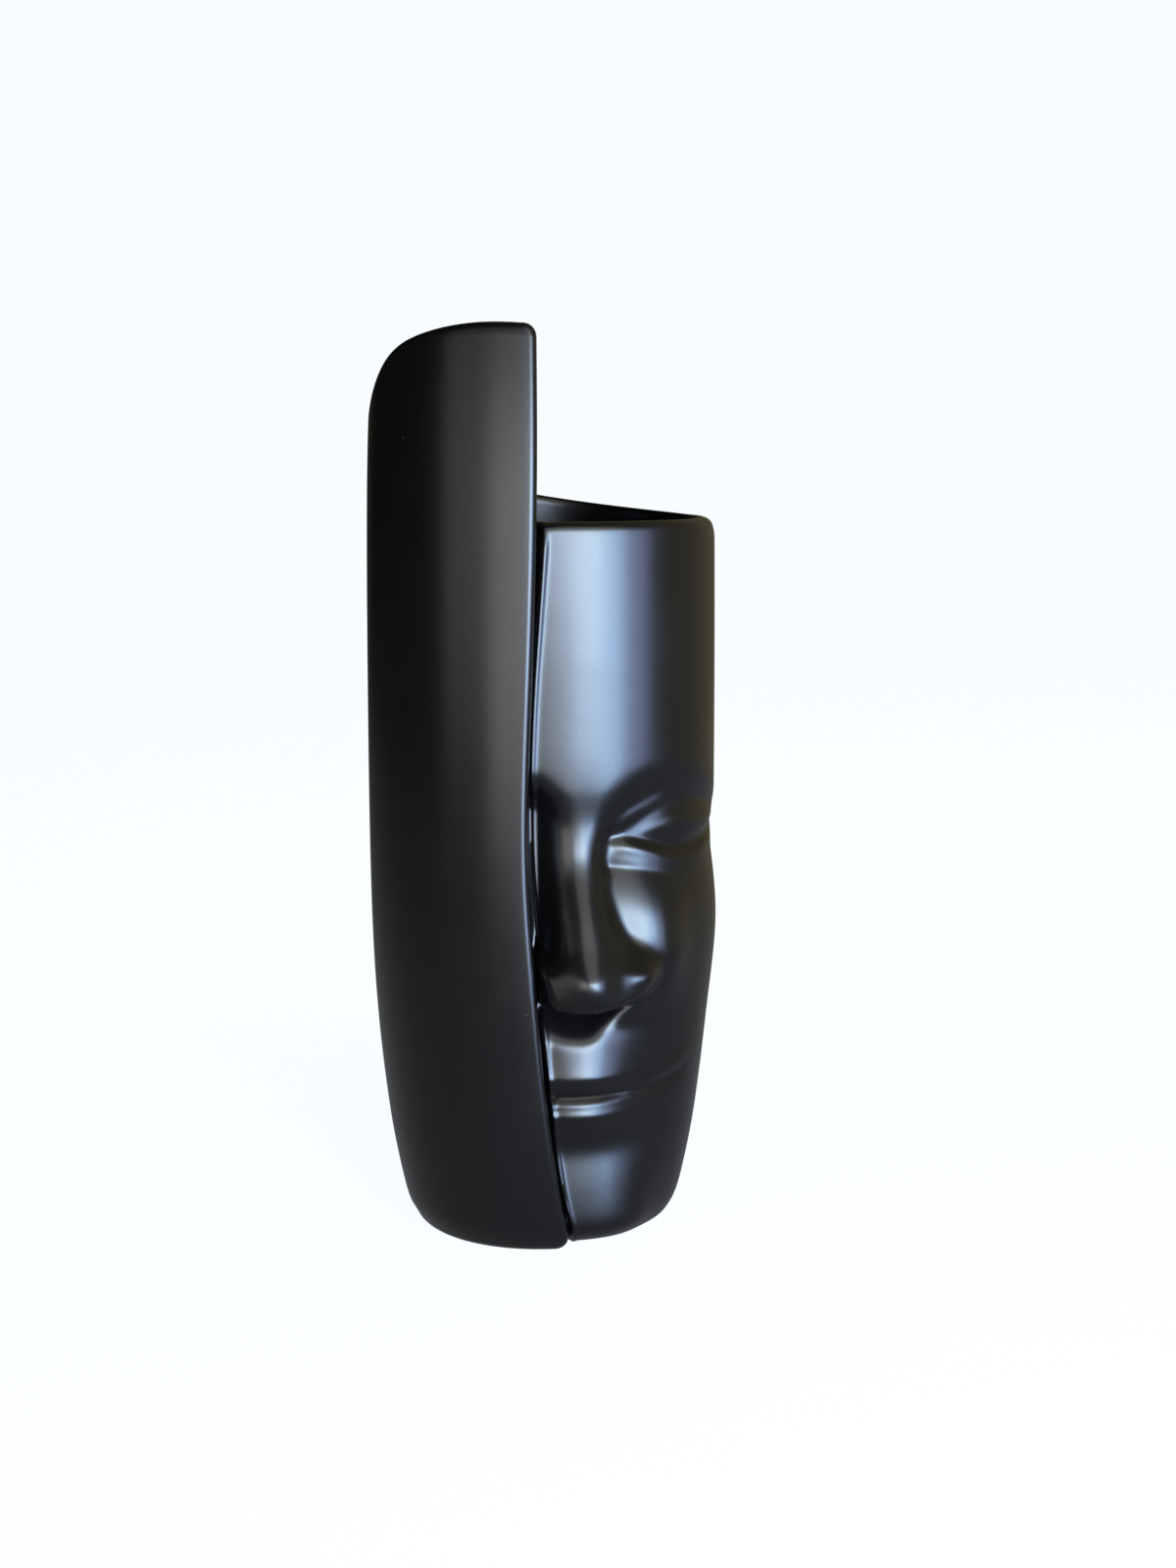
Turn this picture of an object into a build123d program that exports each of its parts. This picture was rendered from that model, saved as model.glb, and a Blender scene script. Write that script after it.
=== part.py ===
from build123d import *
import math
import os

# Overall sizes in millimetres, table at Z = 0, face looking along -Y
HOOD_HEIGHT = 310.0
RIM_HEIGHT = 247.0
HALF_WIDTH = 58.2
FRONT_DEPTH = 57.2
BACK_DEPTH = 57.2
# Exponent of the plan outline, 2 would be an ellipse
SQUARENESS = 2.15

# Walls of the shells and of the hood
SHELL_WALL = 5.5
HOOD_WALL = 6.5
# Extra clay behind the features of the face
FACE_BACKING = 6.0

# Hood: how far its free edge stands proud, and where the edge leaves the midline
HOOD_LIFT = 9.5
EDGE_OFFSET = 19.8
# Groove between the hood's edge and the face
GROOVE_DEPTH = 4.5
GROOVE_WIDTH = 2.4
# Lap of the face shell behind the hood
LAP_REACH = 19.0
LAP_LAND = 8.0
# How deep one piece is let into the next before the meeting face is cut
LET_IN = 0.6

# Seams, in degrees round the axis from the front towards +X
SIDE_SEAM = 100.0
BACK_SEAM = 205.0

# Base slab and the gap that keeps the shells off the table
BASE_THICKNESS = 7.0
FOOT_RISE = 0.8

# Rounded edges
FOOT_ROUND = 2.0
LIP_ROUND = 2.5
HOOD_CORNER = 4.0

# Height of the features, the face is three equal parts from chin to rim
THIRD = RIM_HEIGHT / 3
EYE_LEVEL = 1.75 * THIRD
NOSE_TIP = 1.21 * THIRD
MOUTH_LEVEL = 0.69 * THIRD
CHIN_LEVEL = 0.29 * THIRD

# Relief of the features
SOCKET_DEPTH = 6.0
LID_HEIGHT = 3.6
NOSE_HEIGHT = 16.2
WING_HEIGHT = 4.2
CHEEK_HEIGHT = 4.0
MUZZLE_HEIGHT = 5.0
LIP_HEIGHT = 3.0
CHIN_HEIGHT = 4.0


def smooth(stations):
    """Natural cubic curve through the stations, held level past both ends."""
    xs = [station[0] for station in stations]
    ys = [station[1] for station in stations]
    last = len(xs) - 1
    upper = [0.0] * (last + 1)
    right = [0.0] * (last + 1)
    for i in range(1, last):
        before = xs[i] - xs[i - 1]
        after = xs[i + 1] - xs[i]
        pivot = 2 * (before + after) - before * upper[i - 1]
        turn = (ys[i + 1] - ys[i]) / after - (ys[i] - ys[i - 1]) / before
        upper[i] = after / pivot
        right[i] = (6 * turn - before * right[i - 1]) / pivot
    bend = [0.0] * (last + 1)
    for i in range(last - 1, 0, -1):
        bend[i] = right[i] - upper[i] * bend[i + 1]

    def value(x):
        x = min(max(x, xs[0]), xs[-1])
        i = 0
        while i < last - 1 and x > xs[i + 1]:
            i += 1
        step = xs[i + 1] - xs[i]
        a = (xs[i + 1] - x) / step
        b = (x - xs[i]) / step
        bow = (a**3 - a) * bend[i] + (b**3 - b) * bend[i + 1]
        return a * ys[i] + b * ys[i + 1] + bow * step**2 / 6

    return value


def ramp(start, end, x):
    """Smooth step from 0 at start to 1 at end."""
    t = min(max((x - start) / (end - start), 0.0), 1.0)
    return t * t * (3 - 2 * t)


def bell(t):
    return math.exp(-t * t)


def dome(t, power):
    return max(1 - t * t, 0.0) ** power


# Body outline as a share of the widest, against height as a share of the hood's
taper = smooth(
    [(0, 0.745), (0.016, 0.79), (0.042, 0.83), (0.1, 0.88), (0.2, 0.945), (0.31, 0.985)]
    + [(0.45, 1), (0.62, 1), (0.78, 0.993), (0.89, 0.978), (1, 0.945)]
)
# Rise of the rim from the level part to the top of the hood, against the angle
rise = smooth(
    [(0, 0), (50, 0), (100, 0), (130, 0.02), (171, 0.095), (225, 0.28), (258, 0.485), (276, 0.675)]
    + [(291, 0.857), (310, 0.962), (328, 1), (352, 0.98)]
)
# The hood's free edge sweeps towards the midline at the chin
sweep = smooth(
    [(0, 0.11), (0.05, 0.32), (0.1, 0.478), (0.15, 0.602), (0.2, 0.71), (0.31, 0.88), (0.435, 1)]
    + [(0.61, 0.945), (0.8, 0.845), (1, 0.81)]
)
# Nose from its base to the brow, heights in thirds of the face
nose_height = smooth(
    [(0.99, 0), (1.04, 0.08), (1.1, 0.53), (1.16, 0.9), (1.22, 1), (1.31, 0.94), (1.46, 0.76)]
    + [(1.64, 0.57), (1.8, 0.38), (1.94, 0.15), (2.09, 0), (2.3, 0)]
)
nose_width = smooth(
    [(0.97, 20), (1.07, 25), (1.14, 26.5), (1.23, 22.5), (1.32, 17), (1.42, 13.2), (1.55, 10.5)]
    + [(1.68, 9.2), (1.82, 9.6), (1.97, 14), (2.25, 24)]
)


def rim_at(angle):
    return RIM_HEIGHT + (HOOD_HEIGHT - RIM_HEIGHT) * rise(angle)


def body_radius(angle, z):
    across = abs(math.sin(math.radians(angle))) / HALF_WIDTH
    along = math.cos(math.radians(angle))
    along = along / FRONT_DEPTH if along > 0 else -along / BACK_DEPTH
    return taper(z / HOOD_HEIGHT) * (across**SQUARENESS + along**SQUARENESS) ** (-1 / SQUARENESS)


def edge_angle(z):
    reach = FRONT_DEPTH * taper(z / HOOD_HEIGHT) + HOOD_LIFT
    return -math.degrees(math.asin(EDGE_OFFSET * sweep(z / HOOD_HEIGHT) / reach))


def foot_inset(z):
    """Rounding of the shells' lower outside edge."""
    short = max(FOOT_RISE + FOOT_ROUND - z, 0)
    return FOOT_ROUND - math.sqrt(FOOT_ROUND**2 - short**2)


def hood_outer(angle, z):
    return body_radius(angle, z) + HOOD_LIFT * ramp(BACK_SEAM, 345, angle)


def hood_inner(angle, z):
    wall = SHELL_WALL + (HOOD_WALL - SHELL_WALL) * ramp(BACK_SEAM, 250, angle)
    return hood_outer(angle, z) - wall


def relief(angle, z):
    """Features of the face, measured outwards from the body."""
    side = abs(angle)
    t = z / THIRD
    eye = (z - EYE_LEVEL) / THIRD
    hollow = math.hypot((side - 41) / (44 if side > 41 else 35), eye / (0.255 if eye > 0 else 0.28))
    lids = math.hypot((side - 44) / 31, eye / 0.165)
    lip = t - MOUTH_LEVEL / THIRD - 0.011 * (side / 40) ** 2
    height = -SOCKET_DEPTH * (1 + 0.25 * bell((side - 17) / 8)) * (1 - ramp(0.48, 1.05, hollow))
    height += LID_HEIGHT * dome(min(lids, 1), 0.9)
    height += NOSE_HEIGHT * nose_height(t) * dome(min(side / nose_width(t), 1), 1.5)
    height += 0.12 * NOSE_HEIGHT * bell(side / 8) * bell((z - NOSE_TIP) / (0.073 * THIRD))
    height += WING_HEIGHT * bell((side - 18.5) / 6.5) * bell((z - 0.96 * NOSE_TIP) / (0.08 * THIRD))
    height += CHEEK_HEIGHT * bell((side - 47) / 27) * bell((t - 1.25) / 0.255)
    height += MUZZLE_HEIGHT * bell(side / 32) * bell((t - 0.73) / 0.28)
    height += 0.7 * LIP_HEIGHT * bell((lip - 0.053) / 0.036) * math.exp(-((side / 34) ** 4))
    height -= 0.8 * LIP_HEIGHT * bell(lip / 0.022) * math.exp(-((side / 42) ** 6))
    height += LIP_HEIGHT * bell((lip + 0.064) / 0.046) * math.exp(-((side / 27) ** 4))
    height -= 0.85 * LIP_HEIGHT * bell((lip + 0.175) / 0.067) * bell(side / 28)
    height += CHIN_HEIGHT * bell(side / 25) * bell((z - CHIN_LEVEL) / (0.158 * THIRD))
    room = HOOD_LIFT - HOOD_WALL - 1.4 + 1.15 * max(angle - edge_angle(z) - 2, 0)
    near = max(2 - abs(height - room), 0) / 2
    return min(height, room) - near * near / 2


def face_outer(angle, z):
    return body_radius(angle, z) + relief(angle, z) - foot_inset(z)


def shell_inner(angle, z):
    backing = FACE_BACKING * ramp(2.37, 2, z / THIRD) * ramp(SIDE_SEAM, 70, angle)
    backing += GROOVE_DEPTH * ramp(8, 2, angle - edge_angle(z))
    return body_radius(angle, z) - SHELL_WALL - backing


def base_in_shell(angle, z):
    return shell_inner(angle, z) + LET_IN


def base_in_hood(angle, z):
    return hood_inner(angle, z) + LET_IN


def lap_land(angle, z):
    return hood_inner(angle + 360, z) + LET_IN


def plan_point(angle, radius):
    turn = math.radians(angle)
    return Vector(radius * math.sin(turn), -radius * math.cos(turn))


def plan_curve(start, end, z, radius, count):
    """Curve in plan between two angles, evenly spaced so that every level matches."""
    shares = [i / (count - 1) for i in range(count)]
    angles = [start + (end - start) * share for share in shares]
    points = [plan_point(angle, radius(angle, z)) for angle in angles]
    return Edge.make_spline(points, parameters=shares)


def spread(first, last, count):
    return [first + (last - first) * i / (count - 1) for i in range(count)]


def wall_levels(top, count):
    """Heights of a wall's sections, close together in the rounded foot."""
    rounded = [FOOT_RISE + FOOT_ROUND * share for share in (0, 0.08, 0.3, 0.62)]
    return rounded + spread(FOOT_RISE + FOOT_ROUND, top, count)


def rim_surface(start, end):
    """Sloping surface through the rim, wider than the walls."""
    angles = spread(start - 4, end + 4, 40)
    rows = []
    for radius in (0.5 * HALF_WIDTH, HALF_WIDTH, 1.5 * HALF_WIDTH):
        places = [plan_point(angle, radius) for angle in angles]
        rows.append([place + Vector(0, 0, rim_at(angle)) for place, angle in zip(places, angles)])
    return Face.make_surface_from_array_of_points(rows)


os.makedirs("parts", exist_ok=True)

# Base: slab cut to the inside of the shells, its flat underside stands on the table
with BuildPart() as base:
    for z in (0, BASE_THICKNESS):
        lap = edge_angle(z) - LAP_REACH + 0.5
        with BuildSketch(Plane.XY.offset(z)):
            with BuildLine():
                shell_side = plan_curve(lap, BACK_SEAM, z, base_in_shell, 33)
                hood_side = plan_curve(BACK_SEAM, lap + 360, z, base_in_hood, 17)
                add(shell_side)
                add(hood_side)
                Line(hood_side @ 1, shell_side @ 0)
            make_face()
    loft()
base.part.label = "base"
export_step(base.part, "parts/base.step")

# Hood: tall wall from the back seam round the left to its free edge in front
with BuildPart() as hood:
    for z in spread(FOOT_RISE, HOOD_HEIGHT + 8, 14):
        with BuildSketch(Plane.XY.offset(z)):
            with BuildLine():
                outside = plan_curve(BACK_SEAM, edge_angle(z) + 360, z, hood_outer, 25)
                inside = plan_curve(BACK_SEAM, edge_angle(z) + 360, z, hood_inner, 25)
                add(outside)
                add(inside)
                Line(outside @ 0, inside @ 0)
                Line(outside @ 1, inside @ 1)
            make_face()
    loft()
    extrude(rim_surface(BACK_SEAM, 352), amount=HOOD_HEIGHT, dir=(0, 0, 1), mode=Mode.SUBTRACT)
    fillet(hood.faces().sort_by(Axis.Z)[-1].edges().sort_by(Axis.Y)[0], HOOD_CORNER)
    high_edges = hood.edges().filter_by_position(Axis.Z, RIM_HEIGHT, 2 * HOOD_HEIGHT)
    fillet(high_edges.sort_by(SortBy.LENGTH)[-2:], LIP_ROUND)
    fillet(hood.edges().group_by(Axis.Z)[0].sort_by(SortBy.LENGTH)[-1], FOOT_ROUND)
    add(base.part, mode=Mode.SUBTRACT)
hood.part.label = "hood"
export_step(hood.part, "parts/hood.step")

# Back shell: plain wall between the side seam and the back seam
with BuildPart() as back_shell:
    for z in spread(FOOT_RISE, rim_at(BACK_SEAM) + 8, 14):
        with BuildSketch(Plane.XY.offset(z)):
            with BuildLine():
                outside = plan_curve(SIDE_SEAM, BACK_SEAM, z, body_radius, 17)
                inside = plan_curve(SIDE_SEAM, BACK_SEAM, z, shell_inner, 17)
                add(outside)
                add(inside)
                Line(outside @ 0, inside @ 0)
                Line(outside @ 1, inside @ 1)
            make_face()
    loft()
    extrude(rim_surface(SIDE_SEAM, BACK_SEAM), amount=RIM_HEIGHT, dir=(0, 0, 1), mode=Mode.SUBTRACT)
    fillet(back_shell.faces().sort_by(Axis.Z)[-1].edges().sort_by(SortBy.LENGTH)[-2:], LIP_ROUND)
    fillet(back_shell.edges().group_by(Axis.Z)[0].sort_by(SortBy.LENGTH)[-1], FOOT_ROUND)
    add(base.part, mode=Mode.SUBTRACT)
back_shell.part.label = "back_shell"
export_step(back_shell.part, "parts/back_shell.step")

# Face shell: the face, with a lap behind the hood that makes the floor of the groove
with BuildPart() as face_shell:
    for z in wall_levels(RIM_HEIGHT, 80):
        edge = edge_angle(z)
        lap = edge - LAP_REACH
        land_end = lap + LAP_LAND
        with BuildSketch(Plane.XY.offset(z)):
            with BuildLine():
                outside = plan_curve(edge + GROOVE_WIDTH, SIDE_SEAM, z, face_outer, 61)
                inside = plan_curve(lap, SIDE_SEAM, z, shell_inner, 25)
                add(outside)
                add(inside)
                Line(outside @ 1, inside @ 1)
                Polyline(
                    inside @ 0,
                    plan_point(lap, lap_land(lap, z)),
                    plan_point(land_end, lap_land(land_end, z)),
                    plan_point(land_end + 2, body_radius(land_end + 2, z) - GROOVE_DEPTH),
                    plan_point(edge, body_radius(edge, z) - GROOVE_DEPTH),
                    outside @ 0,
                )
            make_face()
    loft()
    fillet(face_shell.edges().group_by(Axis.Z)[-1].sort_by(SortBy.LENGTH)[-2:], LIP_ROUND)
    add(hood.part, mode=Mode.SUBTRACT)
    add(base.part, mode=Mode.SUBTRACT)
face_shell.part.label = "face_shell"
export_step(face_shell.part, "parts/face_shell.step")
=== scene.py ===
import math
import bmesh
import bpy
import numpy as np
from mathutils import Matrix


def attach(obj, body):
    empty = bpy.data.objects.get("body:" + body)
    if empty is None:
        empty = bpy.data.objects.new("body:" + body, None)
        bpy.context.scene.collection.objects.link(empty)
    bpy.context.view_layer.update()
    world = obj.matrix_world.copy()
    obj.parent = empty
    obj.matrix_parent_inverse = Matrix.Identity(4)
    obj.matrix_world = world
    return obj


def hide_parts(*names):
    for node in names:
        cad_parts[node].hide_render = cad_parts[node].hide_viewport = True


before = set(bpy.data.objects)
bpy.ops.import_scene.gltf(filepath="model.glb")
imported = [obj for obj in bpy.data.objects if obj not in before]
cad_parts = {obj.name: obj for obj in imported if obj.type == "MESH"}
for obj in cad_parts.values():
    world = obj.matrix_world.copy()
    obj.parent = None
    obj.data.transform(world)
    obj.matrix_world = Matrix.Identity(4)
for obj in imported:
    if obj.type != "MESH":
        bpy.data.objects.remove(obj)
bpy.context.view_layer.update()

mm = 0.001
onEdge = 0.1  # mm, near enough to count as lying on a slab's edge
print("frame loaded, nodes:", sorted(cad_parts))


def clearSelection():
    if bpy.context.object and bpy.context.object.mode != "OBJECT":
        bpy.ops.object.mode_set(mode="OBJECT")
    bpy.ops.object.select_all(action="DESELECT")


# a thin batten bent through (place, size) stations gives every soft line of the vase
def batten(stations):
    xs, ys = np.array(stations, float).T
    gap = np.diff(xs)
    bend = np.zeros(len(xs))
    stiff = np.diag(2 * (gap[:-1] + gap[1:])) + np.diag(gap[1:-1], 1) + np.diag(gap[1:-1], -1)
    bend[1:-1] = np.linalg.solve(stiff, 6 * np.diff(np.diff(ys) / gap))

    def at(x):
        x = np.clip(x, xs[0], xs[-1])
        i = np.clip(np.searchsorted(xs, x) - 1, 0, len(gap) - 1)
        a, b = (xs[i + 1] - x) / gap[i], (x - xs[i]) / gap[i]
        bow = (a**3 - a) * bend[i] + (b**3 - b) * bend[i + 1]
        return a * ys[i] + b * ys[i + 1] + bow * gap[i] ** 2 / 6

    return at


def ramp(start, end, x):
    t = np.clip((x - start) / (end - start), 0, 1)
    return t * t * (3 - 2 * t)


def bell(t):
    return np.exp(-t * t)


def dome(t, power):
    return np.clip(1 - t * t, 0, None) ** power


# the round body that all the shells follow, mm, turns in degrees from the front towards +X
vaseBody = {
    "hoodHeight": 310.0,
    "rimHeight": 247.0,
    "halfWidth": 58.2,
    "depth": 57.2,
    "squareness": 2.15,
    "shellWall": 5.5,
    "hoodWall": 6.5,
    "hoodLift": 9.5,
    "edgeOffset": 19.8,
    "grooveDepth": 4.5,
    "faceBacking": 6.0,
    "sideSeam": 100.0,
    "backSeam": 205.0,
    "footRise": 0.8,
    "footTuck": 2.6,
    "tuckHeight": 13.0,
    "sideLean": 1.0,
    "shoulder": 4.0,
    "shoulderInset": 0.9,
    "shoulderGrowth": 0.8,
}
# share of the widest, by share of the hood's height
taperLine = batten(
    [(0, 0.745), (0.016, 0.79), (0.042, 0.83), (0.1, 0.88), (0.2, 0.945), (0.31, 0.985)]
    + [(0.45, 1), (0.62, 1), (0.78, 0.993), (0.89, 0.978), (1, 0.945)]
)
# the rim climbs from its level part over the face to the top of the hood: share of the climb, by turn
riseLine = batten(
    [(0, 0), (50, 0), (100, 0), (130, 0.02), (171, 0.095), (225, 0.275), (258, 0.465), (276, 0.65)]
    + [(291, 0.838), (310, 0.957), (328, 1), (352, 0.98)]
)
# the hood's free edge sweeps back to the middle at the chin: share of its offset, by share of the height
sweepLine = batten(
    [(0, 0.11), (0.05, 0.32), (0.1, 0.478), (0.15, 0.602), (0.2, 0.71), (0.31, 0.88), (0.435, 1)]
    + [(0.61, 0.945), (0.8, 0.845), (1, 0.81)]
)


def rimLevel(turn):
    return vaseBody["rimHeight"] + (vaseBody["hoodHeight"] - vaseBody["rimHeight"]) * riseLine(turn)


def bodyRadius(turn, level):
    power = vaseBody["squareness"]
    across = np.abs(np.sin(np.radians(turn))) / vaseBody["halfWidth"]
    along = np.abs(np.cos(np.radians(turn))) / vaseBody["depth"]
    return taperLine(level / vaseBody["hoodHeight"]) * (across**power + along**power) ** (-1 / power)


def edgeTurn(level):
    share = level / vaseBody["hoodHeight"]
    reach = vaseBody["depth"] * taperLine(share) + vaseBody["hoodLift"]
    return -np.degrees(np.arcsin(vaseBody["edgeOffset"] * sweepLine(share) / reach))


# the shells' rim leans in to a soft shoulder below the lip, a broader one round the side
def rimShoulder(turn, level):
    aside = 1 + vaseBody["shoulderGrowth"] * ramp(25, 70, turn)
    near = np.clip(1 - (rimLevel(turn) - level) / (vaseBody["shoulder"] * aside), 0, 1)
    return vaseBody["shoulderInset"] * aside**2 * (1 - np.sqrt(1 - near**2))


# the foot tucks in all round, and all but the front draws in a little more towards it
def footLean(turn, level):
    low = np.clip(1 - level / vaseBody["tuckHeight"], 0, 1)
    lean = vaseBody["sideLean"] * ramp(40, 6, level) * ramp(20, 70, turn)
    return lean + vaseBody["footTuck"] * (1 - np.sqrt(1 - low**2))


def readPoints(piece):
    flat = np.empty(len(piece.data.vertices) * 3)
    piece.data.vertices.foreach_get("co", flat)
    return flat.reshape(-1, 3)


def writePoints(piece, points):
    piece.data.vertices.foreach_set("co", np.ascontiguousarray(points).ravel())
    piece.data.update()


def spaced(*runs):
    stops = [np.linspace(start, end, count, endpoint=False) for start, end, count in runs]
    return np.concatenate(stops + [[runs[-1][1]]])


# a slab of clay lying flat: its lines stand where the columns and rows (mm) ask for them
def claySlab(name, columns, rows, wall):
    clearSelection()
    width, height = len(columns) - 1, len(rows) - 1
    bpy.ops.mesh.primitive_grid_add(x_subdivisions=width, y_subdivisions=height, size=1)
    slab = bpy.context.object
    slab.name = slab.data.name = name
    points = readPoints(slab)
    column = np.rint((points[:, 0] + 0.5) * width).astype(int)
    row = np.rint((points[:, 1] + 0.5) * height).astype(int)
    points = np.stack([np.array(columns)[column], np.array(rows)[row], 0 * points[:, 2]], axis=1)
    writePoints(slab, points * mm)
    thickness = slab.modifiers.new("wall", "SOLIDIFY")
    thickness.thickness = wall * mm
    thickness.offset = -1
    bpy.ops.object.modifier_apply(modifier="wall")
    return slab


# rounds the edges whose two ends pass the test by their place (mm): those along the slab's faces,
# or those that go through its wall
def roundEdges(slab, wanted, radius, steps, through=False):
    bpy.ops.object.mode_set(mode="EDIT")
    bpy.ops.mesh.select_mode(type="EDGE")
    bpy.ops.mesh.select_all(action="DESELECT")
    cut = bmesh.from_edit_mesh(slab.data)
    for edge in cut.edges:
        ends = [end.co / mm for end in edge.verts]
        crossing = abs(ends[0].z - ends[1].z) > 0.5
        sharp = edge.calc_face_angle(0) > 0.5
        edge.select_set(crossing == through and sharp and all(wanted(end) for end in ends))
    bmesh.update_edit_mesh(slab.data)
    bpy.ops.mesh.bevel(offset=radius * mm, segments=steps, profile=0.5, affect="EDGES", clamp_overlap=False)
    bpy.ops.object.mode_set(mode="OBJECT")


# rolls the flat slab round the body: depth in the slab runs from the outside to the inside
def rollUp(slab, wall, layout, outside, inside):
    points = readPoints(slab) / mm
    turn, level = layout(points[:, 0], points[:, 1])
    depth = np.clip(-points[:, 2] / wall, 0, 1)
    radius = outside(turn, level) * (1 - depth) + inside(turn, level) * depth
    angle = np.radians(turn)
    rolled = np.stack([radius * np.sin(angle), -radius * np.cos(angle), level], axis=1)
    writePoints(slab, rolled * mm)
    bpy.ops.object.shade_smooth_by_angle(angle=math.radians(50))


# the lip and the foot of every shell: the first and last row leave room for their rounding
lip = {"round": 2.2, "steps": 6, "footRound": 2.2, "footSteps": 6, "firstRow": 3.2, "lastRow": 3.2}

# hood: the tall wall from the back seam round the left to its free edge in front
hoodSheet = {
    "width": 165.0,
    "columns": 74,
    "rows": 120,
    "lastColumn": 7.6,
    "firstRow": 7.6,
    "lastRow": 4.4,
    "topCorner": 4.0,
    "topCornerSteps": 5,
    "footCorner": 7.0,
    "footCornerSteps": 8,
}


def hoodLayout(x, y):
    level = y
    for settle in range(4):
        start = vaseBody["backSeam"]
        turn = start + (edgeTurn(level) + 360 - start) * x / hoodSheet["width"]
        rise = rimLevel(turn) - vaseBody["footRise"]
        level = vaseBody["footRise"] + rise * y / vaseBody["hoodHeight"]
    return turn, level


def hoodOutside(turn, level):
    lift = vaseBody["hoodLift"] * ramp(vaseBody["backSeam"], 345, turn)
    return bodyRadius(turn, level) + lift - footLean(turn, level)


def hoodInside(turn, level):
    grow = ramp(vaseBody["backSeam"], 250, turn)
    wall = vaseBody["shellWall"] + (vaseBody["hoodWall"] - vaseBody["shellWall"]) * grow
    return hoodOutside(turn, level) + footLean(turn, level) - wall


def atTopCorner(end):
    return end.x > wide - onEdge and end.y > tall - onEdge


def atFootCorner(end):
    return end.x > wide - onEdge and end.y < onEdge


# along the top, the foot and the free edge, and round the corners between them
def onHoodRim(end):
    toEnd, toEdge = tall / 2 - abs(end.y - tall / 2), wide - end.x
    return min(toEnd, toEdge) < onEdge or max(toEnd, toEdge) < hoodSheet["footCorner"] + 0.3


wide, tall = hoodSheet["width"], vaseBody["hoodHeight"]
low, high = hoodSheet["firstRow"], tall - hoodSheet["lastRow"]
hoodColumns = np.append(np.linspace(0, wide - hoodSheet["lastColumn"], hoodSheet["columns"]), wide)
hoodRows = spaced((0, low, 1), (low, high, hoodSheet["rows"]), (high, tall, 1))
hood = claySlab("glazedHood", hoodColumns, hoodRows, vaseBody["hoodWall"])
roundEdges(hood, atTopCorner, hoodSheet["topCorner"], hoodSheet["topCornerSteps"], through=True)
roundEdges(hood, atFootCorner, hoodSheet["footCorner"], hoodSheet["footCornerSteps"], through=True)
roundEdges(hood, onHoodRim, lip["round"], lip["steps"])
rollUp(hood, vaseBody["hoodWall"], hoodLayout, hoodOutside, hoodInside)
print("hood rolled,", len(hood.data.polygons), "faces")


# back shell: the plain wall between the side seam and the back seam
backSheet = {"columns": 50, "rows": 100}


def backLayout(x, y):
    turn = vaseBody["sideSeam"] + x
    rise = rimLevel(turn) - vaseBody["footRise"]
    return turn, vaseBody["footRise"] + rise * y / vaseBody["rimHeight"]


def backOutside(turn, level):
    shoulder = rimShoulder(turn, level) * ramp(vaseBody["backSeam"], 150, turn)
    return bodyRadius(turn, level) - shoulder - footLean(turn, level)


# inside of both shells, with more clay behind the face's lower two thirds and behind the groove
def shellInside(turn, level):
    third = vaseBody["rimHeight"] / 3
    backing = vaseBody["faceBacking"] * ramp(2.37, 2, level / third) * ramp(vaseBody["sideSeam"], 70, turn)
    backing = backing + vaseBody["grooveDepth"] * ramp(8, 2, turn - edgeTurn(level))
    return bodyRadius(turn, level) - vaseBody["shellWall"] - backing


def onShellLip(end):
    return end.y > tall - onEdge


def onShellFoot(end):
    return end.y < onEdge and end.z > -onEdge


wide, tall = vaseBody["backSeam"] - vaseBody["sideSeam"], vaseBody["rimHeight"]
low, high = lip["firstRow"], tall - lip["lastRow"]
backColumns = np.linspace(0, wide, backSheet["columns"])
backRows = spaced((0, low, 1), (low, high, backSheet["rows"]), (high, tall, 1))
back = claySlab("glazedBack", backColumns, backRows, vaseBody["shellWall"])
roundEdges(back, onShellLip, lip["round"], lip["steps"])
roundEdges(back, onShellFoot, lip["footRound"], lip["footSteps"])
rollUp(back, vaseBody["shellWall"], backLayout, backOutside, shellInside)
print("back shell rolled,", len(back.data.polygons), "faces")


# face shell: the same wall with a face modelled on it, and a lap that lies behind the hood
faceSheet = {
    "lapReach": 19.0,
    "lapLand": 8.0,
    "grooveEnd": 6.0,
    "sideWidth": 100.0,
    "bead": 0.9,
    "eyeball": 2.8,
    "cheek": 5.0,
    "cheekFall": 27.0,
    "flank": 7.5,
    "noseBase": 85.8,
    "noseBaseRise": 0.0125,
    "underNose": 2.5,
    "smile": 1.2,
    "sponge": 12,
    "spongePress": 0.5,
}
# the nose's ridge in mm proud of the body and its half width in degrees, by level
ridgeLine = batten(
    [(80, 9), (85, 11.5), (87, 13.2), (89, 14), (91, 14.1), (95, 13.6), (99, 13.1), (104, 12.2)]
    + [(112, 9.6), (120, 6.3), (126, 3.6), (130, 1.9), (134, 0.6), (138, -0.3), (143, -0.9)]
    + [(148, -1.1), (153, -0.8), (158, -0.3), (165, 0), (180, 0), (200, 0)]
)
noseWidthLine = batten(
    [(80, 27), (94, 27), (99, 25), (105.5, 20), (112, 15.6), (118, 13), (126, 11.4), (131, 12)]
    + [(134, 11), (137, 10.6), (140, 11.6), (144, 13.4), (152, 16.4), (162, 22), (185, 30)]
)
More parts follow.
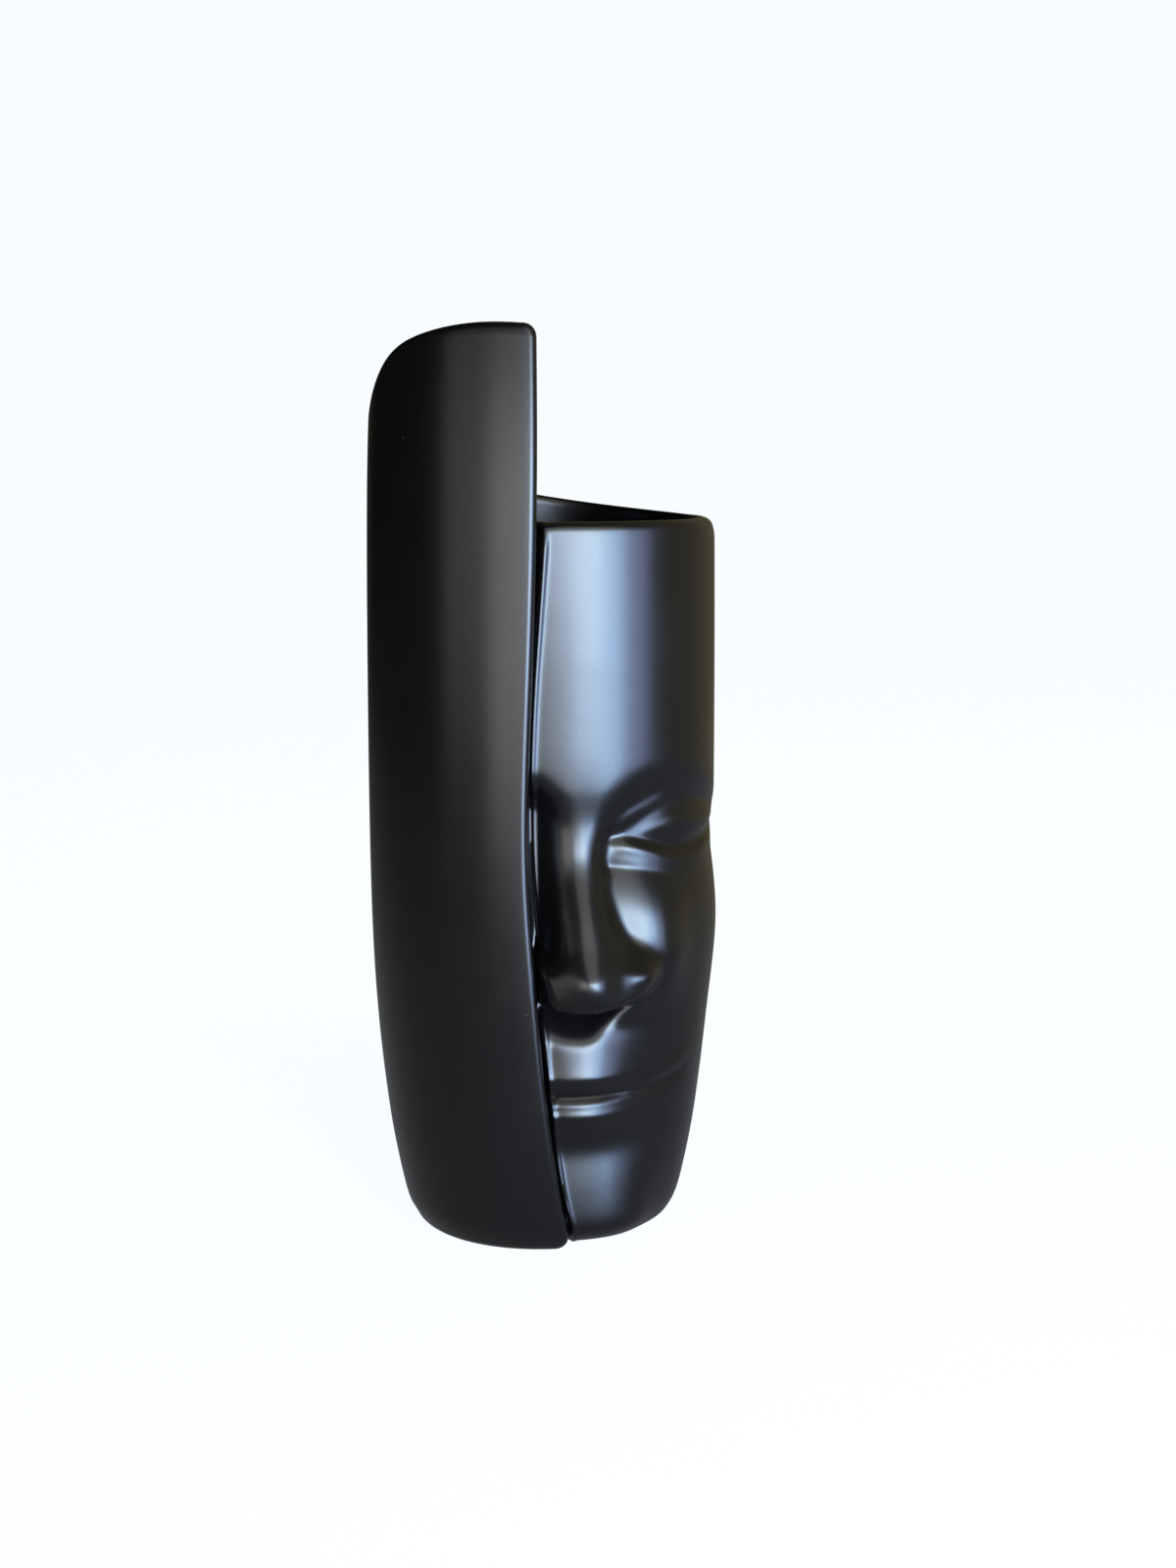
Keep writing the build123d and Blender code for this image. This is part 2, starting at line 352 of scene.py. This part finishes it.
# eye socket: its depth by turn above the lids and below them, the brow's edge and the cheek's edge
socketLine = batten(
    [(0, 4.5), (8, 5.6), (12, 5.8), (20, 5.4), (30, 4.9), (45, 4.5), (60, 3.8), (72, 2.6)]
    + [(82, 1.4), (94, 0), (100, 0)]
)
tearLine = batten(
    [(0, 4), (8, 5), (11, 5.1), (15, 4.4), (20, 3.3), (26, 2.2), (34, 1.4), (45, 1.2)]
    + [(60, 1.4), (72, 1.4), (82, 1), (94, 0), (100, 0)]
)
browLine = batten(
    [(0, 156), (3, 159), (8, 162.7), (15.5, 166), (22, 167.5), (36, 166.2), (60, 159.4)]
    + [(80, 151), (100, 146)]
)
cheekLine = batten([(0, 132), (10, 133), (20, 132.2), (30, 130.2), (50, 129), (75, 132), (100, 135)])
# the lidded ball lies between the fold over the upper lid and the lower lid
foldLine = batten(
    [(6, 142), (12.7, 147), (18.6, 150.6), (25.3, 153.8), (34.9, 156.2), (44.9, 155.6), (56, 152.6)]
    + [(68, 149), (80, 146.5)]
)
lowerLine = batten(
    [(6, 140), (12, 141.4), (17.7, 141), (26.2, 139), (34.9, 136.4), (45.7, 135.4), (58.9, 137.2), (80, 141)]
)
# front of the mouth and chin on the midline, mm proud of the body by level
mouthLine = batten(
    [(0, 1.6), (3, 4), (6, 5.7), (9, 6), (12, 5.5), (16, 4.7), (20, 3.9), (27, 2.5), (33, 1.3), (36, 0.9)]
    + [(39, 1.1), (42, 2), (44, 3), (46.3, 4.5), (48.3, 5.6), (49.5, 5.8), (50.8, 5.5)]
    + [(52.8, 5), (54.2, 4.5)]
    + [(55.4, 3.7), (56.4, 3.5), (58, 4), (60, 5), (61.5, 5.8), (62.6, 6.1), (64, 5.8), (67, 5), (72, 3.9)]
    + [(75.5, 3), (77.5, 2.1), (80, 1.3), (84, 0.8), (90, 0.4), (100, 0), (112, 0), (150, 0)]
)
# lines pressed across the mouth: depth, level and reach in mm
mouthCuts = {"lowerLipLine": (0.3, 51.6, 0.6), "slit": (1.4, 56, 0.7)}
# depth of the hollow under the nose, by turn
hollowLine = batten(
    [(0, 7.4), (3, 6.9), (6, 5.4), (9, 3.2), (11, 1.6), (13, 0.5), (15, 0.1), (18, 0), (60, 0), (100, 0)]
)
# how far the groove beside the hood opens towards the face, in degrees by level
grooveLine = batten(
    [(0, 0.8), (10, 0.6), (19, 0.3), (31, 0.2), (55, 0.2), (78, 0.2), (112, 0.1), (135, -0.6)]
    + [(170, -0.8), (193, -0.6), (215, 0.2), (233, 1), (247, 1.6)]
)
# pads of clay laid on: height, then turn and its reach in degrees, level and its reach in mm
facePads = {
    "muzzle": (2.6, 0, 12, 84.5, 6),
    "underWing": (3.0, 17, 7, 90, 7),
    "noseTip": (3.0, 0.5, 5.5, 97, 7),
    "wing": (5.0, 18, 6.2, 99, 6),
    "cheekbone": (1.6, 72, 26, 106, 24),
}
# strokes of the modelling tool: how far one reaches, and (turn, level, height) along it
faceStrokes = {
    "lidFold": (
        2.4,
        [(13, 144.6, 0), (16, 147.4, 0.7), (20, 149.8, 1.0), (25, 152.2, 1.1), (30, 154, 1.0)]
        + [(36, 155, 0.6), (46, 153.6, 0.3), (58, 150, 0)],
    ),
    "lidRidge": (
        3.0,
        [(19, 140.4, 0), (22, 142, 0.2), (25, 143.4, 0.4), (29, 144.8, 0.65), (34, 146.2, 0.75)]
        + [(40, 147, 0.5), (48, 147, 0)],
    ),
    "tearCorner": (2.6, [(9, 143.5, 0), (11, 142.5, -0.7), (13.5, 141.8, -0.5), (17, 142, 0)]),
    "cheekCorner": (2.0, [(9, 132.6, 0), (11, 132.2, -0.4), (13, 131.6, 0)]),
    "lowerLid": (
        1.9,
        [(12, 138.4, 0), (15, 138.6, 0.2), (19, 138, 0.3), (26, 136.2, 0.25), (35, 133.6, 0.2)]
        + [(46, 132.8, 0.1), (59, 135, 0)],
    ),
    "lidRoll": (
        1.9,
        [(12, 135, 0), (15, 134.8, 0.2), (19, 134.2, 0.3), (26.6, 132.4, 0.2), (38, 130, 0.1)]
        + [(50, 129.6, 0)],
    ),
    "wingCrease": (2.4, [(20, 110, 0), (25, 104, -0.4), (27.5, 98.5, -0.6), (27, 94, -0.4), (24, 90.5, 0)]),
    "nostril": (2.0, [(3, 83.6, 0), (9, 85.2, -0.8), (15, 87.8, -0.5), (21, 90.6, 0)]),
    "smileLine": (2.6, [(18, 55.6, 0), (28, 56, -0.7), (38, 57.4, -0.7), (48, 60, 0)]),
    "smileFold": (2.6, [(22, 59, 0), (30, 60, 0.5), (40, 62, 0.5), (50, 65, 0)]),
}


def pad(name, turn, level):
    height, middle, spread, centre, reach = facePads[name]
    return height * bell((turn - middle) / spread) * bell((level - centre) / reach)


def stroke(turn, level, reach, stations):
    along = np.linspace(0, 1, len(stations))
    fine = np.linspace(0, 1, 90)
    lines = [batten(np.stack([along, line], axis=1)) for line in np.array(stations).T]
    pathTurn, pathLevel, pathHeight = [line(fine) for line in lines]
    height = np.zeros_like(turn)
    near = (turn > pathTurn.min() - 3 * reach) & (turn < pathTurn.max() + 3 * reach)
    near &= (level > pathLevel.min() - 3 * reach) & (level < pathLevel.max() + 3 * reach)
    gap = np.hypot(turn[near][:, None] - pathTurn, level[near][:, None] - pathLevel)
    closest = gap.argmin(axis=1)
    height[near] = pathHeight[closest] * bell(gap.min(axis=1) / reach)
    return height


def softLimit(height, room, blend):
    near = np.clip(blend - np.abs(height - room), 0, None) / blend
    return np.minimum(height, room) - near * near * blend / 4


def faceRelief(turn, level):
    side = np.abs(turn)
    right = turn > 0
    sizes = faceSheet
    # eye socket and the lidded ball in it, left of the nose a valley that runs under the hood
    brow = browLine(side) - level
    under = np.clip(1 + (level - cheekLine(side)) / sizes["cheekFall"], 0, 1) ** 2
    lids = level - lowerLine(side)
    deep = tearLine(side) + (socketLine(side) - tearLine(side)) * ramp(-1.5, 2, lids)
    socket = deep * ramp(0, 1, brow / (15 + 8 * ramp(30, 14, side))) * under
    valley = sizes["flank"] * ramp(0, 14, brow) * ramp(84, 98, level)
    height = -np.where(right, socket, valley)
    opening = lids / (foldLine(side) - lowerLine(side))
    ball = dome(np.clip(np.abs(2 * opening - 1), 0, 1), 1.6) * ramp(20, 48, side) * ramp(80, 58, side)
    height += sizes["eyeball"] * ball * right
    # cheeks, fullest beside the nose and below the eye
    height += sizes["cheek"] * bell((side - 28) / 12) * (1 - under) * ramp(74, 104, level) * right
    height += pad("cheekbone", side, level)
    # mouth and chin, the corners turned up, with the slit and the line on the lower lip
    chin = ramp(50, 34, level)
    across = bell(turn / 19) * (1 - chin) + np.exp(-((turn / 31) ** 4)) * chin
    height += mouthLine(level - sizes["smile"] * (side / 40) ** 2) * across
    cuts = sum(depth * bell((level - at) / reach) for depth, at, reach in mouthCuts.values())
    height -= cuts * bell(turn / 18)
    # muzzle under the nose and the hollow pressed into it, the nose's base rises to the sides
    base = level - sizes["noseBase"] - sizes["noseBaseRise"] * side**2
    dip = np.where(right, turn, -0.25 * turn)
    height += pad("muzzle", turn, level)
    height -= hollowLine(dip) * bell((base + 2) / (3 + 2.2 * bell(dip / 6.5)))
    height += pad("underWing", side, level)
    # nose: from the ridge down both flanks, then the tip and the wings, cut off at the base
    width = np.where(right, noseWidthLine(level), np.maximum(noseWidthLine(level), 19))
    crest = 1 - ramp(0, 1, np.minimum(side / width, 1) ** (1.2 + 0.12 * ramp(118, 97, level)))
    height += (ridgeLine(level) - height) * crest * ramp(-1.2, 2.2, base)
    height += pad("noseTip", turn, level)
    height -= sizes["underNose"] * bell((base + 1) / 1.8) * ramp(19, 10, side)
    height += pad("wing", side, level) * ramp(-1.5, 4, base)
    for reach, stations in faceStrokes.values():
        height += stroke(turn, level, reach, stations)
    # the features stay clear of the hood, and fade out at the rim and the side seam
    room = 3.2 + 2.2 * np.clip(turn - edgeTurn(level) - grooveLine(level) - 0.6, 0, None)
    height = softLimit(height, room, 2.0)
    return height * ramp(vaseBody["rimHeight"], vaseBody["rimHeight"] - 7, level) * ramp(100, 92, turn)


# across the slab, degrees from the hood's edge up to the groove's end, then the rest of the way to the seam
def faceLayout(x, y):
    level = vaseBody["footRise"] + (vaseBody["rimHeight"] - vaseBody["footRise"]) * y / vaseBody["rimHeight"]
    edge = edgeTurn(level) + grooveLine(level) * ramp(-8, -3, x)
    beyond = np.clip(x - faceSheet["grooveEnd"], 0, None) / faceSheet["sideWidth"]
    start = edge + faceSheet["grooveEnd"]
    return np.where(beyond > 0, start + (vaseBody["sideSeam"] - start) * beyond, edge + x), level


def faceOutside(turn, level):
    past = turn - edgeTurn(level)
    plain = bodyRadius(turn, level)
    # a bead along the groove, where the wall dives in, then it rises to the land that carries the hood
    away = past - grooveLine(level)
    height = faceRelief(turn, level) + faceSheet["bead"] * bell((away - 1.3) / 1.0) * ramp(246, 238, level)
    depth = vaseBody["grooveDepth"] * (0.3 + 0.7 * ramp(2, 24, level))
    height = height - (height + depth) * ramp(0.6, -1.8, away)
    radius = plain + height - rimShoulder(turn, level) - footLean(turn, level)
    bottom = plain - depth
    land = hoodInside(turn + 360, level)
    landEnd = faceSheet["lapLand"] - faceSheet["lapReach"] + 8 * ramp(14, 3, level)
    behind = bottom + (land - bottom) * ramp(landEnd + 2.5, landEnd, past)
    return np.where(away < -1.8, behind, radius)


tall = vaseBody["rimHeight"]
low, high = lip["firstRow"], tall - lip["lastRow"]
# lines of the slab, closest at the groove, the lips, the nose and the eye
grooveColumns = [(-faceSheet["lapReach"], -8, 6), (-8, -1, 7), (-1, faceSheet["grooveEnd"], 14)]
sideEnd = faceSheet["grooveEnd"] + faceSheet["sideWidth"]
sideColumns = [(faceSheet["grooveEnd"], 40, 46), (40, 80, 50), (80, sideEnd, 20)]
mouthRows = [(0, low, 1), (low, 44, 32), (44, 64, 30), (64, 84, 20)]
upperRows = [(84, 104, 26), (104, 128, 18), (128, 160, 50), (160, high, 50), (high, tall, 1)]
faceColumns = spaced(*grooveColumns, *sideColumns)
faceRows = spaced(*mouthRows, *upperRows)
face = claySlab("glazedFace", faceColumns, faceRows, vaseBody["shellWall"])
roundEdges(face, onShellLip, lip["round"], lip["steps"])
roundEdges(face, onShellFoot, lip["footRound"], lip["footSteps"])
acrossSlab, upSlab, outSlab = (readPoints(face) / mm).T
worked = (outSlab > -0.01) * ramp(2, 4, acrossSlab) * ramp(102, 92, acrossSlab)
worked = worked * ramp(5, 12, upSlab) * ramp(236, 226, upSlab)
worked = worked * (1 - 0.9 * bell((upSlab - 86) / 4))  # the nose's base stays crisp
rollUp(face, vaseBody["shellWall"], faceLayout, faceOutside, shellInside)
# a wet sponge over the modelled side to finish it
sponged = face.vertex_groups.new(name="sponged")
for index in np.flatnonzero(worked > 0):
    sponged.add([int(index)], float(worked[index]), "REPLACE")
sponge = face.modifiers.new("sponge", "SMOOTH")
sponge.vertex_group = "sponged"
sponge.factor, sponge.iterations = faceSheet["spongePress"], faceSheet["sponge"]
bpy.ops.object.modifier_apply(modifier="sponge")
print("face shell rolled,", len(face.data.polygons), "faces")


def srgb(code):
    parts = [int(code[i : i + 2], 16) / 255 for i in (1, 3, 5)]
    return tuple(p / 12.92 if p <= 0.04045 else ((p + 0.055) / 1.055) ** 2.4 for p in parts) + (1.0,)


# adds one node: its settings by attribute, its sockets by name (Roughness) or number (i6),
# each with a value or another node's output
def addNode(tree, kind, settings=None, **sockets):
    node = tree.nodes.new(kind)
    for name, value in (settings or {}).items():
        setattr(node, name, value)
    for name, value in sockets.items():
        numbered = name[0] == "i" and name[1:].isdigit()
        socket = node.inputs[int(name[1:]) if numbered else name.replace("_", " ")]
        if isinstance(value, bpy.types.NodeSocket):
            tree.links.new(value, socket)
        else:
            socket.default_value = value
    return node


def newMaterial(name):
    material = bpy.data.materials.new(name)
    material.use_nodes = True
    tree = material.node_tree
    return material, tree, tree.nodes["Principled BSDF"]


def grainScale(size):
    return 1 / (size * mm)


colours = {"data_type": "RGBA"}

# satin black stoneware glaze, sprayed and fired: near black, a soft sheen that breaks up
# into a fine grain (drawn coarser than it is, to show), slow ripples where it ran, and a few dust specks
blackGlaze, tree, shader = newMaterial("satinBlackStonewareGlaze")
place = addNode(tree, "ShaderNodeTexCoord").outputs["Object"]
cloud = addNode(
    tree, "ShaderNodeTexNoise", Vector=place, Scale=grainScale(38), Detail=3.0, Roughness=0.55
).outputs["Fac"]
grain = addNode(
    tree, "ShaderNodeTexNoise", Vector=place, Scale=grainScale(0.9), Detail=2.0, Roughness=0.6
).outputs["Fac"]
ripple = addNode(
    tree, "ShaderNodeTexNoise", Vector=place, Scale=grainScale(14), Detail=1.0, Roughness=0.4
).outputs["Fac"]
tint = addNode(tree, "ShaderNodeMix", colours, i0=cloud, i6=srgb("#050506"), i7=srgb("#090808")).outputs[2]
scatter = addNode(
    tree, "ShaderNodeTexVoronoi", Vector=place, Scale=grainScale(7), Randomness=1.0
).outputs["Distance"]
dust = addNode(
    tree, "ShaderNodeMapRange", Value=scatter, From_Min=0.025, From_Max=0.045, To_Min=1.0, To_Max=0.0
).outputs["Result"]
drift = addNode(tree, "ShaderNodeTexNoise", Vector=place, Scale=grainScale(45), Detail=1.0).outputs["Fac"]
settled = addNode(tree, "ShaderNodeMapRange", Value=drift, From_Min=0.56, From_Max=0.66).outputs["Result"]
specks = addNode(tree, "ShaderNodeMath", {"operation": "MULTIPLY"}, i0=dust, i1=settled)
dusty = addNode(tree, "ShaderNodeMix", colours, i0=specks.outputs["Value"], i6=tint, i7=srgb("#4a463c"))
gloss = addNode(tree, "ShaderNodeMapRange", Value=cloud, From_Min=0.3, From_Max=0.7, To_Min=0.25, To_Max=0.3)
peel = addNode(tree, "ShaderNodeBump", Height=ripple, Strength=0.05, Distance=0.4 * mm).outputs["Normal"]
skin = addNode(tree, "ShaderNodeBump", Height=grain, Strength=0.06, Distance=0.1 * mm, Normal=peel)
tree.links.new(dusty.outputs[2], shader.inputs["Base Color"])
tree.links.new(gloss.outputs["Result"], shader.inputs["Roughness"])
tree.links.new(skin.outputs["Normal"], shader.inputs["Normal"])
shader.inputs["IOR"].default_value = 1.5
print("satin black glaze mixed")

# bare stoneware, the unglazed foot: wiped flat, sandy buff-grey with dark grit
# (drawn coarser than it is, to show)
bareClay, tree, shader = newMaterial("bareStoneware")
place = addNode(tree, "ShaderNodeTexCoord").outputs["Object"]
sand = addNode(
    tree, "ShaderNodeTexNoise", Vector=place, Scale=grainScale(9), Detail=4.0, Roughness=0.6
).outputs["Fac"]
grit = addNode(tree, "ShaderNodeTexVoronoi", Vector=place, Scale=grainScale(1.6)).outputs["Distance"]
speck = addNode(tree, "ShaderNodeMapRange", Value=grit, From_Min=0.1, From_Max=0.22, To_Min=1.0, To_Max=0.0)
buff = addNode(tree, "ShaderNodeMix", colours, i0=sand, i6=srgb("#8a7a69"), i7=srgb("#a39382")).outputs[2]
gritty = addNode(tree, "ShaderNodeMix", colours, i0=speck.outputs["Result"], i6=buff, i7=srgb("#54483c"))
tooth = addNode(tree, "ShaderNodeBump", Height=sand, Strength=0.3, Distance=0.3 * mm)
tree.links.new(gritty.outputs[2], shader.inputs["Base Color"])
tree.links.new(tooth.outputs["Normal"], shader.inputs["Normal"])
shader.inputs["Roughness"].default_value = 0.85
print("bare stoneware mixed")

for piece, node in ((hood, "hood"), (back, "back_shell"), (face, "face_shell")):
    piece.data.materials.append(blackGlaze)
    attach(piece, "root")
    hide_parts(node)
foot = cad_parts["base"]
foot.data.materials.clear()
foot.data.materials.append(bareClay)

# plain pale floor that runs out to a backdrop of the same white
studio = {"floorSize": 40.0, "white": "#f8fcff", "paper": "#5d5f61", "glow": 0.985}
clearSelection()
bpy.ops.mesh.primitive_plane_add(size=studio["floorSize"], location=(0, 0, 0))
floor = bpy.context.object
floor.name = "paleFloor"
paper, tree, shader = newMaterial("palePaper")
shader.inputs["Base Color"].default_value = srgb(studio["paper"])
shader.inputs["Roughness"].default_value = 0.9
shader.inputs["Emission Color"].default_value = srgb(studio["white"])
shader.inputs["Emission Strength"].default_value = studio["glow"]
floor.data.materials.append(paper)
floor.visible_glossy = False
floor.visible_shadow = False

# what the glaze mirrors besides the panels is dim: dark on the left, warm on the right, grey below
surround = {"left": "#18181a", "right": "#938b68", "below": "#7f8185", "fill": 1.0}
world = bpy.data.worlds.new("studio")
bpy.context.scene.world = world
world.use_nodes = True
tree = world.node_tree
tree.nodes.clear()
way = addNode(tree, "ShaderNodeSeparateXYZ", Vector=addNode(tree, "ShaderNodeTexCoord").outputs["Generated"])
aside = addNode(tree, "ShaderNodeMapRange", Value=way.outputs["X"], From_Min=-0.3, From_Max=0.9)
under = addNode(tree, "ShaderNodeMapRange", Value=way.outputs["Z"], From_Min=-0.1, From_Max=-0.3)
leftTone, rightTone, lowTone = [srgb(surround[part]) for part in ("left", "right", "below")]
sides = addNode(tree, "ShaderNodeMix", colours, i0=aside.outputs["Result"], i6=leftTone, i7=rightTone)
around = addNode(
    tree, "ShaderNodeMix", colours, i0=under.outputs["Result"], i6=sides.outputs[2], i7=lowTone
).outputs[2]
dim = addNode(tree, "ShaderNodeBackground", Color=around, Strength=surround["fill"])
seen = addNode(tree, "ShaderNodeBackground", Color=srgb(studio["white"]), Strength=1.0)
direct = addNode(tree, "ShaderNodeLightPath").outputs["Is Camera Ray"]
both = addNode(tree, "ShaderNodeMixShader", i0=direct, i1=dim.outputs[0], i2=seen.outputs[0])
addNode(tree, "ShaderNodeOutputWorld", Surface=both.outputs[0])

# camera a little to the left of the face and above it: mm, degrees, and pixels of a 1200 x 1600 frame
camera = {
    "distance": 800.0,
    "height": 275.0,
    "left": 12.0,
    "down": 8.64,
    "pixels": 2350.0,
    "aside": 43.0,
    "frameWidth": 1200,
    "sensor": 36,
}
left, away = math.radians(camera["left"]), camera["distance"] * mm
clearSelection()
bpy.ops.object.camera_add(
    location=(-away * math.sin(left), -away * math.cos(left), camera["height"] * mm),
    rotation=(math.radians(90 - camera["down"]), 0, -left - math.atan(camera["aside"] / camera["pixels"])),
)
viewer = bpy.context.object
viewer.data.sensor_fit = "HORIZONTAL"
viewer.data.sensor_width = camera["sensor"]
viewer.data.lens = camera["pixels"] / camera["frameWidth"] * camera["sensor"]
viewer.data.clip_start = 0.01
bpy.context.scene.camera = viewer
bpy.context.scene.view_settings.view_transform = "Standard"

# soft panels upright round the vase: turns and lifts they fill (degrees, from the face) and brightness
ring = {"away": 1.6, "middle": 0.17}  # m: distance from the axis, height that the lifts start from
panels = {
    "paleKey": {"turns": (-8, 9), "lifts": (-2, 10), "shine": 22, "colour": "#cbe2ff"},
    "brightKey": {"turns": (9, 22), "lifts": (-4, 10), "shine": 29, "colour": "#d1ebff"},
    "lowKey": {"turns": (9, 22), "lifts": (-10.5, -4), "shine": 20, "colour": "#aed2ff"},
    "coolKey": {"turns": (22, 35), "lifts": (-16, 10), "shine": 22, "colour": "#b0d4ff"},
    "frontFill": {"turns": (-14, 22), "lifts": (-17, 8), "shine": 3.2, "colour": "#e6eaf4"},
    "sideFill": {"turns": (35, 53), "lifts": (-16, 10), "shine": 6, "colour": "#b8caff"},
    "leftFill": {"turns": (-42, -15), "lifts": (-9, 12), "shine": 3.8, "colour": "#fffdf8"},
    "topFill": {"turns": (-14, 34), "lifts": (9, 50), "shine": 1.6, "colour": "#fff8ee"},
    "farFill": {"turns": (-74, -43), "lifts": (-6, 15), "shine": 1.1, "colour": "#fffdf8"},
}
for name, panel in panels.items():
    away = ring["away"]
    turn = math.radians(sum(panel["turns"]) / 2)
    low, high = [math.tan(math.radians(lift)) for lift in panel["lifts"]]
    wide = 2 * away * math.tan(math.radians(panel["turns"][1] - panel["turns"][0]) / 2)
    tall = away * (high - low)
    clearSelection()
    bpy.ops.object.light_add(
        type="AREA",
        location=(away * math.sin(turn), -away * math.cos(turn), ring["middle"] + away * (high + low) / 2),
        rotation=(math.radians(90), 0, turn),
    )
    lamp = bpy.context.object
    lamp.name = name
    lamp.data.shape = "RECTANGLE"
    lamp.data.size, lamp.data.size_y = wide, tall
    lamp.data.energy = panel["shine"] * math.pi * wide * tall
    lamp.data.color = srgb(panel["colour"])[:3]
print("floor, camera and panels set")
